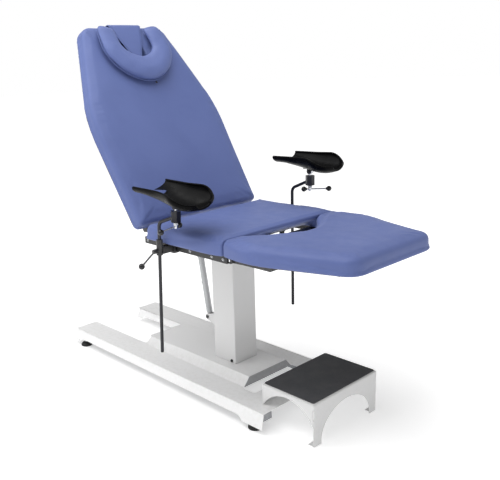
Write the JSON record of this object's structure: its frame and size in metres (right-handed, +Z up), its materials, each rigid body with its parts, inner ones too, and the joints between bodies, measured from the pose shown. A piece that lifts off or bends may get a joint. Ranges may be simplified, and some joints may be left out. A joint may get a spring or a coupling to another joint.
{
  "type": "medical exam table",
  "caption": "Gynaecological examination chair: column base, seat, reclining backrest on a gas spring, folding leg section, leg rests on height rods and a foot step.",
  "frame": {"origin": "on the floor under the middle of the whole object's bounding box", "axes": "+X towards the patient's feet and the step, +Y towards the patient's left hand, +Z up"},
  "size_m": [1.726, 0.944, 1.5621],
  "materials": {
    "white_steel": "white powder coat, satin",
    "grey_steel": "grey zinc-like primer",
    "black_steel": "black powder coat, satin",
    "chrome": "polished",
    "vinyl": "slate-blue vinyl over foam, satin",
    "plywood": "dark stained, matt",
    "rubber": "matt black",
    "black_plastic": "satin black",
    "plate": "dark grey, matt"
  },
  "bodies": {
    "base": {"base_cover": "white_steel", "tunnel_cover": "white_steel", "tunnel_front_plate": "plate", "underframe": "grey_steel", "column": "white_steel", "seat_frame": "black_steel", "side_rail_right": "black_steel", "side_rail_left": "black_steel", "backrest_bracket_right": "black_steel", "backrest_bracket_left": "black_steel", "backrest_pin_right": "chrome", "backrest_pin_left": "chrome", "leg_bracket_right": "black_steel", "leg_bracket_left": "black_steel", "leg_pin_right": "chrome", "leg_pin_left": "chrome", "seat_board": "plywood", "seat_cushion": "vinyl", "spring_lower_bracket": "white_steel", "spring_pin": "black_steel", "step_frame": "white_steel", "step_mat": "rubber"},
    "foot_front_right": {"foot_front_right": "rubber"},
    "foot_front_left": {"foot_front_left": "rubber"},
    "foot_rear_right": {"foot_rear_right": "rubber"},
    "foot_rear_left": {"foot_rear_left": "rubber"},
    "backrest": {"backrest_frame": "black_steel", "backrest_board": "plywood", "backrest_cushion": "vinyl", "spring_upper_bracket": "black_steel", "head_strap": "vinyl"},
    "head_pillow": {"head_pillow": "vinyl"},
    "spring_tube": {"spring_cylinder": "chrome", "release_rod": "black_steel"},
    "spring_piston": {"spring_rod": "chrome"},
    "leg_section": {"leg_frame": "black_steel", "leg_board": "plywood", "leg_cushion": "vinyl"},
    "clamp_right": {"rod_clamp_right": "black_steel"},
    "lever_right": {"clamp_lever_right": "black_steel", "lever_ball_right": "black_plastic"},
    "rod_right": {"support_rod_right": "black_steel", "holder_block_right": "black_steel"},
    "post_right": {"holder_post_right": "chrome"},
    "shell_right": {"leg_shell_right": "black_plastic"},
    "bar_right": {"bar_handle_right": "chrome", "bar_ball_long_right": "black_plastic", "bar_ball_short_right": "black_plastic"},
    "clamp_left": {"rod_clamp_left": "black_steel"},
    "lever_left": {"clamp_lever_left": "black_steel", "lever_ball_left": "black_plastic"},
    "rod_left": {"support_rod_left": "black_steel", "holder_block_left": "black_steel"},
    "post_left": {"holder_post_left": "chrome"},
    "shell_left": {"leg_shell_left": "black_plastic"},
    "bar_left": {"bar_handle_left": "chrome", "bar_ball_long_left": "black_plastic", "bar_ball_short_left": "black_plastic"}
  },
  "joints": [
    {"name": "foot_front_right_height", "type": "slide", "parent": "base", "child": "foot_front_right", "axis": [0, 0, 1], "range_m": [0, 0.01]},
    {"name": "foot_front_left_height", "type": "slide", "parent": "base", "child": "foot_front_left", "axis": [0, 0, 1], "range_m": [0, 0.01]},
    {"name": "foot_rear_right_height", "type": "slide", "parent": "base", "child": "foot_rear_right", "axis": [0, 0, 1], "range_m": [0, 0.01]},
    {"name": "foot_rear_left_height", "type": "slide", "parent": "base", "child": "foot_rear_left", "axis": [0, 0, 1], "range_m": [0, 0.01]},
    {"name": "backrest_recline", "type": "hinge", "parent": "base", "child": "backrest", "pos_m": [-0.113, -0.00484, 0.712], "axis": [0, 1, 0], "range_deg": [-58, 10]},
    {"name": "head_pillow_height", "type": "slide", "parent": "backrest", "child": "head_pillow", "axis": [-0.5299, 0, 0.848], "range_m": [-0.04, 0.02]},
    {"name": "spring_swing", "type": "hinge", "parent": "base", "child": "spring_tube", "pos_m": [-0.085, -0.00484, 0.268], "axis": [0, 1, 0], "range_deg": [-1, 4]},
    {"name": "spring_stroke", "type": "slide", "parent": "spring_tube", "child": "spring_piston", "axis": [-0.1644, 0, 0.9864], "range_m": [-0.04, 0.01]},
    {"name": "leg_section_drop", "type": "hinge", "parent": "base", "child": "leg_section", "pos_m": [0.349, -0.00484, 0.67], "axis": [0, 1, 0], "range_deg": [0, 75]},
    {"name": "clamp_right_slide", "type": "slide", "parent": "base", "child": "clamp_right", "axis": [1, 0, 0], "range_m": [-0.09, 0.23]},
    {"name": "lever_right_turn", "type": "hinge", "parent": "clamp_right", "child": "lever_right", "pos_m": [0.04, -0.36084, 0.6705], "axis": [0, 1, 0], "range_deg": [-50, 50]},
    {"name": "rod_right_height", "type": "slide", "parent": "clamp_right", "child": "rod_right", "axis": [0.0628, 0, 0.998], "range_m": [-0.015, 0.3]},
    {"name": "post_right_swivel", "type": "hinge", "parent": "rod_right", "child": "post_right", "pos_m": [0.15053, -0.36084, 0.81885], "axis": [0.0628, 0, 0.998], "range_deg": [-40, 40]},
    {"name": "shell_right_tilt", "type": "hinge", "parent": "post_right", "child": "shell_right", "pos_m": [0.15292, -0.36084, 0.85678], "axis": [-0.1389, 0.9903, 0.0087], "range_deg": [-20, 25]},
    {"name": "bar_right_turn", "type": "hinge", "parent": "rod_right", "child": "bar_right", "pos_m": [0.15053, -0.36084, 0.81885], "axis": [0.0628, 0, 0.998], "range_deg": [-70, 70]},
    {"name": "clamp_left_slide", "type": "slide", "parent": "base", "child": "clamp_left", "axis": [1, 0, 0], "range_m": [-0.14, 0.18]},
    {"name": "lever_left_turn", "type": "hinge", "parent": "clamp_left", "child": "lever_left", "pos_m": [0.095, 0.35116, 0.6705], "axis": [0, 1, 0], "range_deg": [-50, 50]},
    {"name": "rod_left_height", "type": "slide", "parent": "clamp_left", "child": "rod_left", "axis": [0, 0, 1], "range_m": [-0.045, 0.27]},
    {"name": "post_left_swivel", "type": "hinge", "parent": "rod_left", "child": "post_left", "pos_m": [0.196, 0.35116, 0.8555], "axis": [0, 0, 1], "range_deg": [-40, 40]},
    {"name": "shell_left_tilt", "type": "hinge", "parent": "post_left", "child": "shell_left", "pos_m": [0.196, 0.35116, 0.8935], "axis": [-0.1392, 0.9903, 0], "range_deg": [-20, 25]},
    {"name": "bar_left_turn", "type": "hinge", "parent": "rod_left", "child": "bar_left", "pos_m": [0.196, 0.35116, 0.8555], "axis": [0, 0, 1], "range_deg": [-70, 70]}
  ],
  "couplings": [
    {"joint": "spring_swing", "follows": "backrest_recline", "ratio": -0.052},
    {"joint": "spring_stroke", "follows": "backrest_recline", "m_per_rad": 0.0355}
  ]
}
